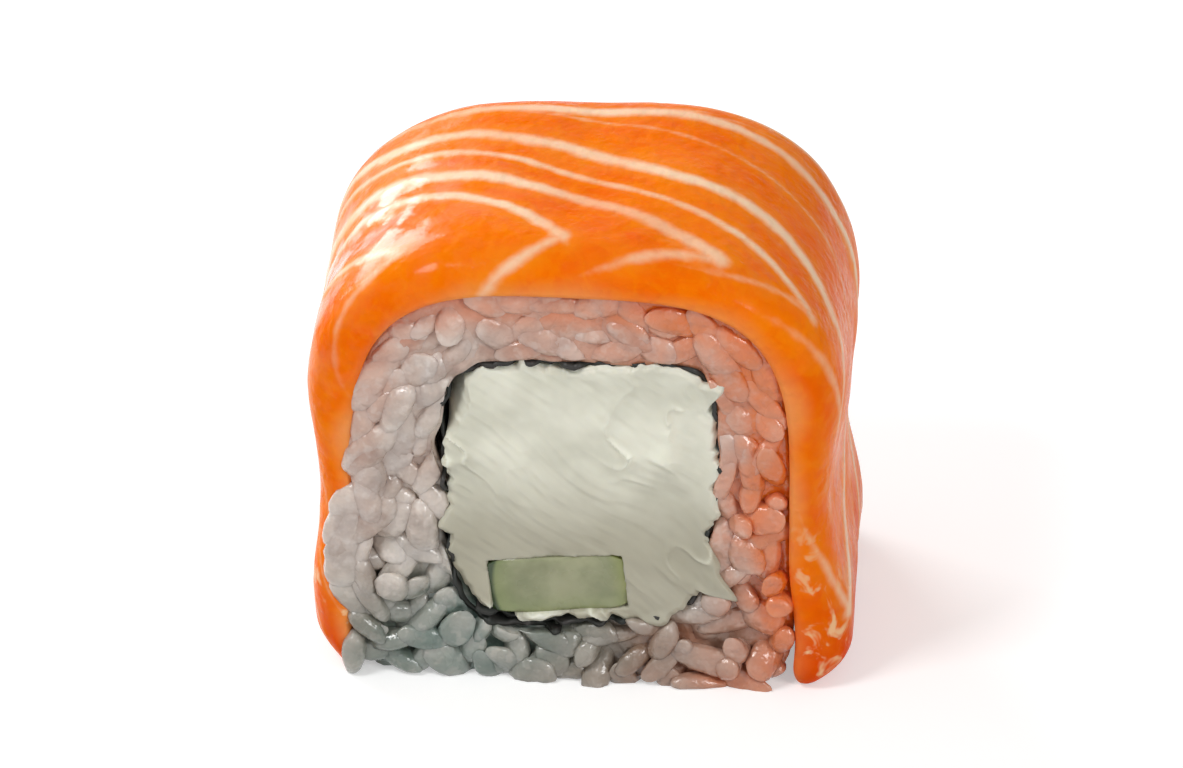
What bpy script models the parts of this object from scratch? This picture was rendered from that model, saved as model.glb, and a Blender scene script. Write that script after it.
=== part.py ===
"""One piece of a square-pressed inside-out sushi roll, standing on its base.

The layers, from the middle out, all run from the front cut face to the back one: a cucumber baton set
into the foot of a block of cream cheese, a sheet of nori wrapped round both with its end lapping over
its start, a ring of pressed rice, and a slice of salmon draped over the top and down both sides.

X runs across the piece, Y along the roll (the front cut face looks along -Y) and Z up. The origin is
the middle of the base.
"""

import math

import bmesh
import bpy
from mathutils import Vector, noise

MM = 0.001

# Whole piece
LENGTH = 25.5 * MM
CLEARANCE = 0.3 * MM

# Rice ring
RICE_CENTRE = -0.55 * MM
RICE_HALF_WIDTH = 15.5 * MM
RICE_HEIGHT = 31.9 * MM
RICE_LENGTH = LENGTH - 0.9 * MM
RICE_SQUARENESS_TOP = 3.5
RICE_SQUARENESS_FOOT = 9.0
RICE_SINK = 0.35 * MM
RICE_STEPS_AROUND = 84
RICE_ROWS_ON_SIDE = 9
RICE_ROWS_ON_FACE = 5
GRAIN_SPACING = 3.6 * MM
GRAIN_RELIEF = 1.3 * MM
GRAIN_CROWN = 0.45 * MM
RIM_ROUNDING = 0.4 * MM
RIM_SHARE = 0.25
FLAT_BASE_HALF = (9.0 * MM, 8.0 * MM)

# Core: cream cheese and cucumber, the shape that the nori wraps
CORE_CENTRE = (0.4 * MM, 15.9 * MM)
CORE_HALF_WIDTH = 9.6 * MM
CORE_HALF_HEIGHT = 10.3 * MM
CORE_SQUARENESS = 5.0
CORE_TILT = math.radians(3)
CORE_DENT = 0.12
CORE_DENT_AT = math.radians(-25)
CORE_DENT_REACH = math.radians(48)
CHEESE_LENGTH = LENGTH - 0.6 * MM
CHEESE_BULGE = 0.3 * MM
CHEESE_BULGE_SPACING = 6 * MM
CHEESE_RIM_ROUNDING = 0.35 * MM
CHEESE_RIM_SHARE = 0.2

# Cucumber baton
CUCUMBER_WIDTH = 9.9 * MM
CUCUMBER_HEIGHT = 4.5 * MM
CUCUMBER_LENGTH = LENGTH - 0.8 * MM
CUCUMBER_CENTRE = (-1.5 * MM, 8.1 * MM)
CUCUMBER_TILT = math.radians(6)
CUCUMBER_EDGE = 0.35 * MM
CUCUMBER_CROWN = 0.35 * MM
GROOVE_REACH = 4 * MM

# Nori sheet
NORI_THICKNESS = 0.5 * MM
NORI_LENGTH = LENGTH - 0.7 * MM
NORI_START = math.radians(232)
NORI_LAP = math.radians(30)
NORI_RAMP = math.radians(22)

# Salmon slice
SALMON_THICKNESS = 4.1 * MM
SALMON_LEAN = 0.16
SALMON_FOOT = 0.25 * MM
SALMON_STEPS = 50
SALMON_ROWS = 8
SALMON_EDGE = 0.9 * MM
SALMON_EDGE_WAVE = 0.25 * MM
SALMON_GAP = 0.4 * MM
LEFT_SWING = 0.2 * MM
RIGHT_SWING = 0.5 * MM
SWING_HEIGHT = 4 * MM
SWING_REACH = 7 * MM


def smooth_step(value):
    """0 below 0, 1 above 1, and an S-curve between them."""
    value = min(max(value, 0.0), 1.0)
    return value * value * (3 - 2 * value)


def hump(value, middle, half_width):
    """A smooth bump, 1 at its middle and 0 from half_width away."""
    return smooth_step(1 - abs(value - middle) / half_width)


def superellipse_radius(angle, half_width, half_height, squareness):
    """Distance from the centre of a rounded rectangle to its edge in the direction of the angle."""
    across = abs(math.cos(angle) / half_width) ** squareness
    upward = abs(math.sin(angle) / half_height) ** squareness
    return (across + upward) ** (-1 / squareness)


def rice_outline(angle, grow=0):
    """The ring's outer edge (x, z), grown by grow: rounder shoulders above, squarer corners at the foot.

    The foot reaches RICE_SINK below the base, where rice_point flattens it.
    """
    share = smooth_step(0.5 - 4 * math.sin(angle))
    squareness = RICE_SQUARENESS_TOP + (RICE_SQUARENESS_FOOT - RICE_SQUARENESS_TOP) * share
    half_height = (RICE_HEIGHT + RICE_SINK) / 2
    radius = superellipse_radius(angle, RICE_HALF_WIDTH, half_height, squareness) + grow
    return RICE_CENTRE + radius * math.cos(angle), RICE_HEIGHT - half_height + radius * math.sin(angle)


def core_outline(angle, along, grow):
    """The core's edge (x, z), grown outwards by grow: a tilted rounded square, uneven, dented low on the right.

    along runs from -1 at the front face to 1 at the back one, over which the shape drifts slightly.
    """
    radius = superellipse_radius(angle - CORE_TILT, CORE_HALF_WIDTH, CORE_HALF_HEIGHT, CORE_SQUARENESS)
    radius *= 1 + 0.014 * math.sin(3 * angle + 0.6 + 0.5 * along) + 0.008 * math.sin(5 * angle + 2 - along)
    off_dent = (angle - CORE_DENT_AT + math.pi) % (2 * math.pi) - math.pi
    radius *= 1 - CORE_DENT * hump(off_dent, 0, CORE_DENT_REACH)
    radius += grow
    return CORE_CENTRE[0] + radius * math.cos(angle), CORE_CENTRE[1] + radius * math.sin(angle)


def lap_lift(turned):
    """How far the nori has climbed over its own start after turning this angle from it."""
    full = 2 * math.pi
    return (NORI_THICKNESS + CLEARANCE) * smooth_step((turned - full + NORI_RAMP) / (NORI_RAMP * 0.8))


def hole_outline(angle, along):
    """The edge (x, z) of the rice's hole: clear of the nori, with room for its lap."""
    turned = (angle - NORI_START) % (2 * math.pi)
    lift = lap_lift(turned)
    past_lap = smooth_step((turned - NORI_LAP) / math.radians(10))
    lift = max(lift, (NORI_THICKNESS + CLEARANCE) * (1 - past_lap))
    return core_outline(angle, along, 2 * CLEARANCE + NORI_THICKNESS + lift)


def grain_relief(point):
    """How far the rice's lumps stand out at a point: most on a grain's crown and least between grains."""
    nearest = noise.voronoi(point / GRAIN_SPACING)[0][0]
    return GRAIN_CROWN - GRAIN_RELIEF * smooth_step(nearest / 0.8)


def material(name, colour, roughness):
    """A plain surface of one colour."""
    made = bpy.data.materials.new(name)
    made.use_nodes = True
    surface = made.node_tree.nodes["Principled BSDF"]
    surface.inputs["Base Color"].default_value = (*colour, 1)
    surface.inputs["Roughness"].default_value = roughness
    surface.inputs["Metallic"].default_value = 0
    return made


def named(name, collection, finish=None):
    """Names the active object and its mesh, moves it to the collection and gives it its material."""
    made = bpy.context.object
    made.name = name
    made.data.name = name
    for old in list(made.users_collection):
        old.objects.unlink(made)
    collection.objects.link(made)
    if finish:
        made.data.materials.append(finish)
        made.data.shade_smooth()
        made.data.set_sharp_from_angle(angle=math.radians(50))
    return made


def ring_profile():
    """The rice ring's cross-section, once round: (share of the way from hole to outside, place along Y).

    It starts at the outer side's front rim and goes back along that side, in over the back face, forward
    through the hole and out over the front face.
    """
    side = [(1.0, -1 + 2 * i / RICE_ROWS_ON_SIDE) for i in range(RICE_ROWS_ON_SIDE)]
    back = [(1 - i / RICE_ROWS_ON_FACE, 1.0) for i in range(RICE_ROWS_ON_FACE)]
    hole = [(0.0, 1.0), (0.0, 0.33), (0.0, -0.33)]
    front = [(i / RICE_ROWS_ON_FACE, -1.0) for i in range(RICE_ROWS_ON_FACE)]
    return side + back + hole + front


def make_rice(collection, finish):
    """The ring of pressed rice: a torus whose sections are laid out between the hole and the outside."""
    profile = ring_profile()
    major, minor = 2.0, 1.0
    bpy.ops.mesh.primitive_torus_add(
        major_segments=RICE_STEPS_AROUND,
        minor_segments=len(profile),
        major_radius=major,
        minor_radius=minor,
    )
    rice = named("rice", collection, finish)
    step = 2 * math.pi / len(profile)
    for vertex in rice.data.vertices:
        x, y, z = vertex.co
        angle = math.atan2(y, x)
        around = math.atan2(z, math.hypot(x, y) - major)
        share, along = profile[round(around / step) % len(profile)]
        vertex.co = rice_point(angle, share, along)
    rice.data.flip_normals()
    return rice


def rice_point(angle, share, along):
    """A point of the rice's skin: share is 0 at the hole and 1 outside, along is -1 in front and 1 behind."""
    outside = Vector(rice_outline(angle))
    hole = Vector(hole_outline(angle, along))
    x, z = hole.lerp(outside, share)
    y = along * RICE_LENGTH / 2
    relief = grain_relief(Vector((x, y, z)))
    if abs(along) == 1:
        at_rim = hump(share, 1, RIM_SHARE) + hump(share, 0, RIM_SHARE)
        y += along * relief * (1 - 0.5 * at_rim)
        y -= along * RIM_ROUNDING * at_rim
    if share == 1 and z < RIM_ROUNDING:
        on_base = abs(x) < FLAT_BASE_HALF[0] and abs(y) < FLAT_BASE_HALF[1]
        z = 0 if on_base else z - relief
    return x, y, max(z, 0)


def make_core_sheet(collection, finish):
    """The nori: a flat grid wrapped once round the core and on over its own start, then thickened."""
    columns, rows = 78, 3
    bpy.ops.mesh.primitive_grid_add(x_subdivisions=columns, y_subdivisions=rows, size=2)
    nori = named("nori", collection, finish)
    turn = 2 * math.pi + NORI_LAP
    for vertex in nori.data.vertices:
        turned = (vertex.co.x + 1) / 2 * turn
        along = vertex.co.y
        grow = CLEARANCE + NORI_THICKNESS / 2 + lap_lift(turned)
        x, z = core_outline(NORI_START + turned, along, grow)
        vertex.co = x, along * NORI_LENGTH / 2, z
    wall = nori.modifiers.new("Thickness", "SOLIDIFY")
    wall.thickness = NORI_THICKNESS
    wall.offset = 0
    return nori


def make_cheese(collection, finish, cutter):
    """The cream cheese: a sphere whose rings are laid out as the two cut faces and the side between."""
    face_shares = [0.35, 0.68, 0.9]
    side_places = [-1.0, -0.6, -0.2, 0.2, 0.6, 1.0]
    rings = (
        [(share, -1.0) for share in face_shares]
        + [(1.0, place) for place in side_places]
        + [(share, 1.0) for share in reversed(face_shares)]
    )
    bpy.ops.mesh.primitive_uv_sphere_add(segments=60, ring_count=len(rings) + 1, radius=1)
    cheese = named("cream_cheese", collection, finish)
    for vertex in cheese.data.vertices:
        x, y, z = vertex.co
        ring = round(math.acos(max(-1, min(1, z))) / math.pi * (len(rings) + 1)) - 1
        at_pole = not 0 <= ring < len(rings)
        share, along = (0.0, math.copysign(1, ring)) if at_pole else rings[ring]
        vertex.co = cheese_point(math.atan2(y, x), share, along)
    cheese.data.flip_normals()
    groove = cheese.modifiers.new("Cucumber groove", "BOOLEAN")
    groove.operation = "DIFFERENCE"
    groove.solver = "EXACT"
    groove.object = cutter
    return cheese


def cheese_point(angle, share, along):
    """A point of the cheese: share runs from 0 in the middle of a cut face to 1 at its edge."""
    edge = Vector(core_outline(angle, along, 0))
    x, z = Vector(CORE_CENTRE).lerp(edge, share)
    y = along * CHEESE_LENGTH / 2
    if abs(along) == 1:
        bulge = CHEESE_BULGE * noise.noise(Vector((x, 0, z)) / CHEESE_BULGE_SPACING) * (1 - share)
        y += along * (bulge - CHEESE_RIM_ROUNDING * hump(share, 1, CHEESE_RIM_SHARE))
    return x, y, z


def cucumber_box(name, collection, grow, length):
    """A box in the cucumber's place, tilted and larger by grow all round."""
    x, z = CUCUMBER_CENTRE
    bpy.ops.mesh.primitive_cube_add(size=1, location=(x, 0, z), rotation=(0, -CUCUMBER_TILT, 0))
    box = named(name, collection)
    box.scale = CUCUMBER_WIDTH + 2 * grow, length, CUCUMBER_HEIGHT + 2 * grow
    bpy.ops.object.transform_apply(location=False, rotation=False, scale=True)
    return box


def make_groove_cutter(collection):
    """The cutter for the cheese's groove: the cucumber's box grown by the clearance, open downwards."""
    cutter = cucumber_box("groove_cutter", collection, CLEARANCE, 2 * LENGTH)
    for vertex in cutter.data.vertices:
        if vertex.co.z < 0:
            vertex.co.z -= GROOVE_REACH
    cutter.hide_render = True
    cutter.display_type = "WIRE"
    return cutter


def make_cucumber(collection, finish):
    """The cucumber baton: a box with its long edges rounded and its skin side, on the left, crowned."""
    cucumber = cucumber_box("cucumber", collection, 0, CUCUMBER_LENGTH)
    cucumber.data.materials.append(finish)
    shape = bmesh.new()
    shape.from_mesh(cucumber.data)
    upright = [
        edge
        for edge in shape.edges
        if abs(edge.verts[0].co.z - edge.verts[1].co.z) > CUCUMBER_HEIGHT / 2 and edge.verts[0].co.x < 0
    ]
    bmesh.ops.subdivide_edges(shape, edges=upright, cuts=3)
    for vertex in shape.verts:
        if vertex.co.x < 0:
            height = vertex.co.z / (CUCUMBER_HEIGHT / 2)
            vertex.co.x += CUCUMBER_CROWN * height * height
    shape.to_mesh(cucumber.data)
    shape.free()
    rounding = cucumber.modifiers.new("Rounded edges", "BEVEL")
    rounding.width = CUCUMBER_EDGE
    rounding.segments = 2
    rounding.limit_method = "ANGLE"
    rounding.angle_limit = math.radians(40)
    return cucumber


def salmon_path():
    """The inner line of the draped slice (x, z), from its left foot up, over the rice and down to its
    right foot, as closely spaced points."""
    over = [Vector(rice_outline(math.radians(180 - i), SALMON_GAP)) for i in range(181)]
    waist = over[0].y
    heights = [waist + (SALMON_FOOT - waist) * i / 40 for i in range(1, 41)]
    inner = RICE_HALF_WIDTH + SALMON_GAP
    left = [Vector((RICE_CENTRE - inner - swing(z, LEFT_SWING), z)) for z in heights]
    right = [Vector((RICE_CENTRE + inner + swing(z, RIGHT_SWING), z)) for z in heights]
    return left[::-1] + over + right


def swing(z, most):
    """How far the slice's ends swing outwards from the rice as they near the base."""
    return most * hump(z, SWING_HEIGHT, SWING_REACH)


def point_along(path, share):
    """The point at this share of the path's length."""
    lengths = [0.0]
    for a, b in zip(path, path[1:]):
        lengths.append(lengths[-1] + (b - a).length)
    target = share * lengths[-1]
    i = min(max(sum(1 for length in lengths if length <= target) - 1, 0), len(path) - 2)
    return path[i].lerp(path[i + 1], (target - lengths[i]) / (lengths[i + 1] - lengths[i]))


def salmon_thickness(share, along):
    """The slice's thickness as a share of SALMON_THICKNESS: fuller on the right, at the shoulders and at the
    feet, thinner at the waists and at both ends."""
    from_middle = abs(share - 0.5) * 2
    shoulder = 0.10 * hump(from_middle, 0.40, 0.2)
    waist = 0.16 * hump(from_middle, 0.68, 0.22)
    end = 0.42 * smooth_step((from_middle - 0.93) / 0.07)
    wave = 0.04 * math.sin(9 * share + 1.5 * along)
    return 0.83 + SALMON_LEAN * (share - 0.5) + shoulder - waist - end + wave


def make_salmon(collection, finish):
    """The salmon slice: a flat grid laid over the path, thickened outwards, with rounded rims."""
    bpy.ops.mesh.primitive_grid_add(x_subdivisions=SALMON_STEPS, y_subdivisions=SALMON_ROWS, size=2)
    salmon = named("salmon", collection, finish)
    path = salmon_path()
    columns = {}
    weights = salmon.vertex_groups.new(name="thickness")
    for vertex in salmon.data.vertices:
        share = round((vertex.co.x + 1) / 2, 5)
        along = vertex.co.y
        if share not in columns:
            columns[share] = point_along(path, share)
        place = columns[share]
        wave = SALMON_EDGE_WAVE * math.sin(7 * share + 1) * abs(along)
        vertex.co = place.x, along * LENGTH / 2 + wave * (1 if along < 0 else -0.6), place.y
        weights.add([vertex.index], salmon_thickness(share, along), "REPLACE")
    wall = salmon.modifiers.new("Thickness", "SOLIDIFY")
    wall.thickness = SALMON_THICKNESS
    wall.offset = 1
    wall.vertex_group = weights.name
    rounding = salmon.modifiers.new("Rounded rims", "BEVEL")
    rounding.width = SALMON_EDGE
    rounding.segments = 2
    rounding.limit_method = "ANGLE"
    rounding.angle_limit = math.radians(60)
    return salmon


def new_collection(name):
    made = bpy.data.collections.new(name)
    bpy.context.scene.collection.children.link(made)
    return made


def main():
    for old in list(bpy.data.objects):
        bpy.data.objects.remove(old)
    parts = new_collection("maki_roll_piece")
    cutters = new_collection("cutters")
    make_rice(parts, material("rice", (0.72, 0.66, 0.58), 0.4))
    make_core_sheet(parts, material("nori", (0.012, 0.016, 0.010), 0.5))
    make_cheese(parts, material("cream_cheese", (0.80, 0.78, 0.68), 0.45), make_groove_cutter(cutters))
    make_cucumber(parts, material("cucumber", (0.42, 0.50, 0.20), 0.3))
    make_salmon(parts, material("salmon", (0.93, 0.20, 0.015), 0.25))


main()
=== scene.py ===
"""The looks of one square-pressed inside-out sushi roll piece, built round its fixed CAD frame.

X runs across the piece, Y along the roll (the front cut face looks along -Y) and Z up. Every piece is a
surface worked out with numpy, its place in its mesh, and each layer runs through from front to back.
"""

import math

import bpy
import numpy as np
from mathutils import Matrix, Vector


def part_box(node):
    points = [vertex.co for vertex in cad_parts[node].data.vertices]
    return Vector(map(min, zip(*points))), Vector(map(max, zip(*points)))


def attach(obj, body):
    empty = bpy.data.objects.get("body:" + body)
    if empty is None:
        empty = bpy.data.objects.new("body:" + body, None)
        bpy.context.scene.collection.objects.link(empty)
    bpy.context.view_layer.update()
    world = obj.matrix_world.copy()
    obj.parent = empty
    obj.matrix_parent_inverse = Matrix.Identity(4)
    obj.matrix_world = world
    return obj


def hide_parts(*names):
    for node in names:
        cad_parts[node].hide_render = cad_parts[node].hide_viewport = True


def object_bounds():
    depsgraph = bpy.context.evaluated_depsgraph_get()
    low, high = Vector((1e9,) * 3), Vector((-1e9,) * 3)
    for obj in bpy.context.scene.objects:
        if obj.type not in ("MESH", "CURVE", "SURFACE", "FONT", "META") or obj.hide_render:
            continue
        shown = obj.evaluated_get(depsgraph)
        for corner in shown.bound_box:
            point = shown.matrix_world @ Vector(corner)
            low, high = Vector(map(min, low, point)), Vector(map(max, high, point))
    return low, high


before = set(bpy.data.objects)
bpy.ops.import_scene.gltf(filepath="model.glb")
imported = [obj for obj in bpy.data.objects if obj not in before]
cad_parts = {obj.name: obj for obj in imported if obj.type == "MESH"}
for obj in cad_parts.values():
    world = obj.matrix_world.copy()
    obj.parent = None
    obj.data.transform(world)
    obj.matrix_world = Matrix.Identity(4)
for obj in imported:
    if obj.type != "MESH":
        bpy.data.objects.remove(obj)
CAD_LOW, CAD_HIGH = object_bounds()

MM = 0.001
FULL_TURN = 2 * math.pi

# ------------------------------------------------ sizes, from the frame where it gives them
_, RICE_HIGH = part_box("rice")
SALMON_LOW, SALMON_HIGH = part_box("salmon")

# Salmon slice
HALF_LENGTH = (SALMON_HIGH.y - SALMON_LOW.y) / 2 - 0.2 * MM
SALMON_THICKNESS = 4.1 * MM
SALMON_LEAN = 0.16  # how much thicker the right leg is than the left one, as a share
SALMON_FOOT = SALMON_LOW.z
SALMON_GAP = 0.25 * MM
LEFT_SWING = 0.2 * MM  # how far each leg swings outwards, at SWING_HEIGHT above the base
RIGHT_SWING = 0.5 * MM
SWING_HEIGHT = 4 * MM
SWING_REACH = 7 * MM
OUTER_RIM_WIDTH = 3.6 * MM  # along the roll
OUTER_RIM_SHARE = 0.72  # of the thickness
INNER_RIM = 0.6 * MM
FOOT_ROUNDING = 2.0 * MM
FOOT_TIP = 0.12  # the share of its thickness that a foot keeps at its very tip
FOOT_MIDDLE = 0.45  # the share of the thickness that the feet round in on
FOOT_NARROWING = 0.16  # how much shorter along the roll a foot's tip is
OUTER_STRETCH = 1.12  # the outer side's length round the slice over the inner line's
SALMON_LOWEST = SALMON_FOOT * 0.4  # how low its uneven surface may come
SALMON_LUMPS = ((0.28, 9, 1), (0.13, 3.6, 2))  # height, spacing and seed, as in lumps()
FAT_HEIGHT = 0.06 * MM
RIPPLE_HEIGHT = 0.045 * MM
EDGE_SWAY = 0.35 * MM  # how far its front and back edges wander, in one wave and in noise
EDGE_WANDER = 0.45 * MM
GLAZE_ROUND_SLICE = (-18 * MM, 17 * MM)  # middle and reach of the wettest part
GLAZE_ALONG = (-3 * MM, 14 * MM)
STARCH_HEIGHT = 18 * MM
CUT_BAND = 4 * MM
FOOT_SHADE_HEIGHT = 11 * MM
# how high the painted shade at the feet reaches: darker and redder towards the base of the legs
THIN_EDGE_GLOW_WIDTH = 2.0 * MM
# width of the painted light that shows through the slice's thin rolled-over edges

# Rice ring: a rounded rectangle, rounder at its shoulders than at its foot
RICE_CENTRE = -0.55 * MM
RICE_HALF_WIDTH = 15.5 * MM
RICE_HEIGHT = RICE_HIGH.z
RICE_SINK = 0.35 * MM  # how far the rounded rectangle reaches below the flat base
RICE_HALF_HEIGHT = (RICE_HEIGHT + RICE_SINK) / 2
RICE_MIDDLE = RICE_HEIGHT - RICE_HALF_HEIGHT
SHOULDER_SQUARENESS = 3.5
FOOT_SQUARENESS = 9.0
RICE_CUT = HALF_LENGTH - 0.3 * MM
RICE_CORE_DEPTH = (0.35 * MM, 1.1 * MM)  # behind the cut, over the filling and low down
RICE_CORE_LUMPS = ((0.3, 2.0, 13), (0.15, 0.9, 14))
RICE_CORE_LOWEST = 0.25 * MM
CUT_LUMPS = ((0.2, 2.0, 11), (0.1, 0.8, 12))
PRESSED_CORNER = 0.5 * MM  # how softly pressed grains turn from free to flat, in the ring and at a cut
CUT_CORNER = 0.8 * MM
STRAY_ROOM = 4 * MM
# how deep the salmon-orange tint reaches into the rice: partly its colour run in, partly painted light
# bounced off the salmon
STAIN_AND_BOUNCE_DEPTH = 8 * MM
# how high the painted shade at the rice's base reaches
PAINTED_SHADE_HEIGHT = 9 * MM
GRAIN_SIZE = (2.6 * MM, 1.2 * MM, 1.05 * MM)
GRAIN_LUMPS = ((0.2, 1.8, 9), (0.08, 0.8, 10))
FACE_GRAIN_SPACING = 1.6 * MM
BASE_GRAIN_SPACING = 2.0 * MM

# Rows of grains pushed out over the slice's left front edge: first and last centre (x, z) in mm, how
# many, the way they head in radians, and how far inside the cut they lie in mm
STRAY_ROWS = (
    ((-13.2, 22.0), (-15.4, 16.6), 3, -2.0, 0.3),
    ((-14.6, 18.4), (-17.5, 11.0), 5, -2.1, 0.1),
    ((-15.0, 14.6), (-17.0, 9.6), 4, -1.9, 0.0),
    ((-15.6, 10.4), (-16.2, 6.4), 3, -1.4, 0.3),
    ((-15.2, 6.4), (-15.9, 1.8), 3, -1.1, 0.3),
)
STRAY_STAND = 0.9 * MM

# How much the rice is tinted salmon-orange at these directions (degrees) from the ring's middle: partly
# the salmon's colour run into it, partly painted orange light bounced off the salmon
STAIN_AND_BOUNCE_ROUND_RING = (
    (-120, 0.0),
    (-78, 0.15),
    (-50, 0.5),
    (-15, 1.0),
    (45, 1.0),
    (75, 0.68),
    (115, 0.52),
    (150, 0.35),
    (180, 0.2),
    (215, 0.08),
    (240, 0.0),
)

# Core: the tilted rounded square of cream cheese and cucumber that the nori wraps
CORE_CENTRE = (0.4 * MM, 15.9 * MM)
CORE_HALF_WIDTH = 9.6 * MM
CORE_HALF_HEIGHT = 10.3 * MM
CORE_SQUARENESS = 5.0
CORE_TILT = math.radians(3)
CORE_LOBES = ((0.014, 3, 0.6, 0.5), (0.008, 5, 2, -1))  # share of the radius, lobes, turn, drift
CORE_DENT = 0.12
CORE_DENT_AT = math.radians(-25)
CORE_DENT_REACH = math.radians(48)
CHEESE_CUT = HALF_LENGTH - 0.3 * MM
CHEESE_GROOVE = 3 * MM  # how deep the cheese is parted in front of the cucumber
GROOVE_EDGE = 0.3 * MM
CHEESE_RIM_DROP = 0.35 * MM
SMEAR_STAND = 0.5 * MM  # how far smeared cheese stands out before the rice
KNIFE_WAY = math.radians(-36)

# Nori sheet
NORI_THICKNESS = 0.3 * MM
NORI_OUT = 0.4 * MM  # from the core's edge to the middle of the sheet
NORI_CUT = HALF_LENGTH - 0.75 * MM
NORI_START = math.radians(232)
NORI_LAP = math.radians(30)
NORI_RAMP = math.radians(22)
NORI_LAP_LIFT = 0.6 * MM
NORI_CREASE = 0.30 * MM
NORI_CRINKLE = 0.18 * MM
NORI_TEAR = 0.6 * MM
HOLE_OUT = 0.55 * MM  # from the core's edge to the rice
HOLE_RAGGEDNESS = 0.4 * MM

# Where the rice stands back from the nori (+) or closes over it (-): direction and half-width in
# degrees, gap in mm
HOLE_GAPS = (
    (165, 14, 0.7),
    (203, 18, 0.7),
    (184, 8, -0.6),
    (225, 8, -0.4),
    (95, 30, 0.35),
    (50, 10, 0.5),
    (125, 8, 0.4),
    (0, 20, -0.5),
    (-75, 14, -0.5),
    (-105, 12, 0.3),
)

# Cucumber baton
CUCUMBER_HALF_WIDTH = 4.95 * MM
CUCUMBER_HALF_HEIGHT = 2.25 * MM
CUCUMBER_CENTRE = (-1.5 * MM, 8.1 * MM)
CUCUMBER_TILT = math.radians(6)
SKIN_CROWN = 0.45 * MM
SEED_SIDE_CROWN = 0.2 * MM
CUCUMBER_CUT = HALF_LENGTH - 0.45 * MM

# Odd numbers that scramble a lattice point's place, and the largest whole number of 31 bits
HASH_OF_PLACE = np.array([73856093, 19349663, 83492791])
HASH_OF_SEED = 668265263
HASH_TURNS = ((13, 1274126177), (15, 1103515245))
LARGEST_HASH = 0x7FFFFFFF


# ------------------------------------------------ curves and noise on whole arrays
def smooth_step(value):
    """0 below 0, 1 above 1, and the S-curve 3v^2 - 2v^3 between them."""
    value = np.clip(value, 0, 1)
    return value * value * (3 - 2 * value)


def hump(value, middle, half_width):
    """A smooth bump: 1 at its middle, 0 from half_width away, S-curves between."""
    return smooth_step(1 - np.abs(value - middle) / half_width)


def turn_between(angle, middle):
    """The signed angle from middle to angle, wrapped to within half a turn."""
    return (angle - middle + math.pi) % FULL_TURN - math.pi


def soft_max(a, b, softness):
    """The larger of a and b, with the corner between them rounded over the softness."""
    near = np.maximum(softness - np.abs(a - b), 0)
    return np.maximum(a, b) + near * near / (4 * softness)


def lattice_value(cell, seed):
    """A fixed random number from -1 to 1 for each lattice point, from an integer hash of its place."""
    mixed = (cell * HASH_OF_PLACE).sum(-1) + seed * HASH_OF_SEED
    for shift, factor in HASH_TURNS:
        mixed = ((mixed ^ (mixed >> shift)) * factor) & LARGEST_HASH
    return mixed / (LARGEST_HASH // 2) - 1


def noise(points, spacing, seed):
    """Smooth noise from -1 to 1: lattice values a spacing apart, blended by S-curves between corners."""
    scaled = points / spacing
    cell = np.floor(scaled).astype(np.int64)
    part = scaled - cell
    part = part * part * (3 - 2 * part)
    total = np.zeros(points.shape[:-1])
    for corner in np.ndindex(2, 2, 2):
        weight = np.prod(np.where(corner, part, 1 - part), axis=-1)
        total += weight * lattice_value(cell + np.array(corner), seed)
    return total


def lumps(points, layers):
    """Noises laid over one another: each layer is its height and its spacing in mm, and its seed."""
    total = 0
    for height, spacing, seed in layers:
        total = total + height * MM * noise(points, spacing * MM, seed)
    return total


def noise_vector(points, spacing, seed):
    """Three separate noises, one for each axis."""
    return np.stack([noise(points, spacing, seed + 50 * axis) for axis in range(3)], -1)


def space(x, y, z):
    """Points (…, 3) from three arrays of coordinates that broadcast together."""
    return np.stack(np.broadcast_arrays(x, y, z), axis=-1)


# ------------------------------------------------ outlines of the roll's cross-section
def superellipse_radius(angle, half_width, half_height, squareness):
    """Distance from the centre of a rounded rectangle to its edge in the direction of the angle."""
    across = np.abs(np.cos(angle) / half_width) ** squareness
    upward = np.abs(np.sin(angle) / half_height) ** squareness
    return (across + upward) ** (-1 / squareness)


def rice_radius(angle):
    """The ring's outer edge, from its middle: rounder above, squarer at the foot."""
    share = smooth_step(0.5 - 4 * np.sin(angle))
    squareness = SHOULDER_SQUARENESS + (FOOT_SQUARENESS - SHOULDER_SQUARENESS) * share
    return superellipse_radius(angle, RICE_HALF_WIDTH, RICE_HALF_HEIGHT, squareness)


def rice_outline(angle, grow):
    """The ring's outer edge (x, z), grown outwards by grow."""
    radius = rice_radius(angle) + grow
    return RICE_CENTRE + radius * np.cos(angle), RICE_MIDDLE + radius * np.sin(angle)


def from_rice_middle(x, z):
    """The direction (radians) and distance of a point from the middle of the ring."""
    x, z = x - RICE_CENTRE, z - RICE_MIDDLE
    return np.arctan2(z, x), np.hypot(x, z)


def core_radius(angle, along):
    """The core's edge, from its centre: a tilted rounded square, dented low on the right.

    Sine waves round it add its lobes. along runs from -1 at the front face to 1 at the back one, over
    which the lobes drift.
    """
    radius = superellipse_radius(angle - CORE_TILT, CORE_HALF_WIDTH, CORE_HALF_HEIGHT, CORE_SQUARENESS)
    lobes = 0
    for size, count, turn, drift in CORE_LOBES:
        lobes = lobes + size * np.sin(count * angle + turn + drift * along)
    dent = CORE_DENT * hump(turn_between(angle, CORE_DENT_AT), 0, CORE_DENT_REACH)
    return radius * (1 + lobes) * (1 - dent)


def core_point(angle, radius):
    """The point (x, z) this far from the core's centre in the direction of the angle."""
    return CORE_CENTRE[0] + radius * np.cos(angle), CORE_CENTRE[1] + radius * np.sin(angle)


def lap_lift(turned):
    """How far the nori has climbed over its own start after turning this angle from it."""
    return NORI_LAP_LIFT * smooth_step((turned - FULL_TURN + NORI_RAMP) / (NORI_RAMP * 0.8))


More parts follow.
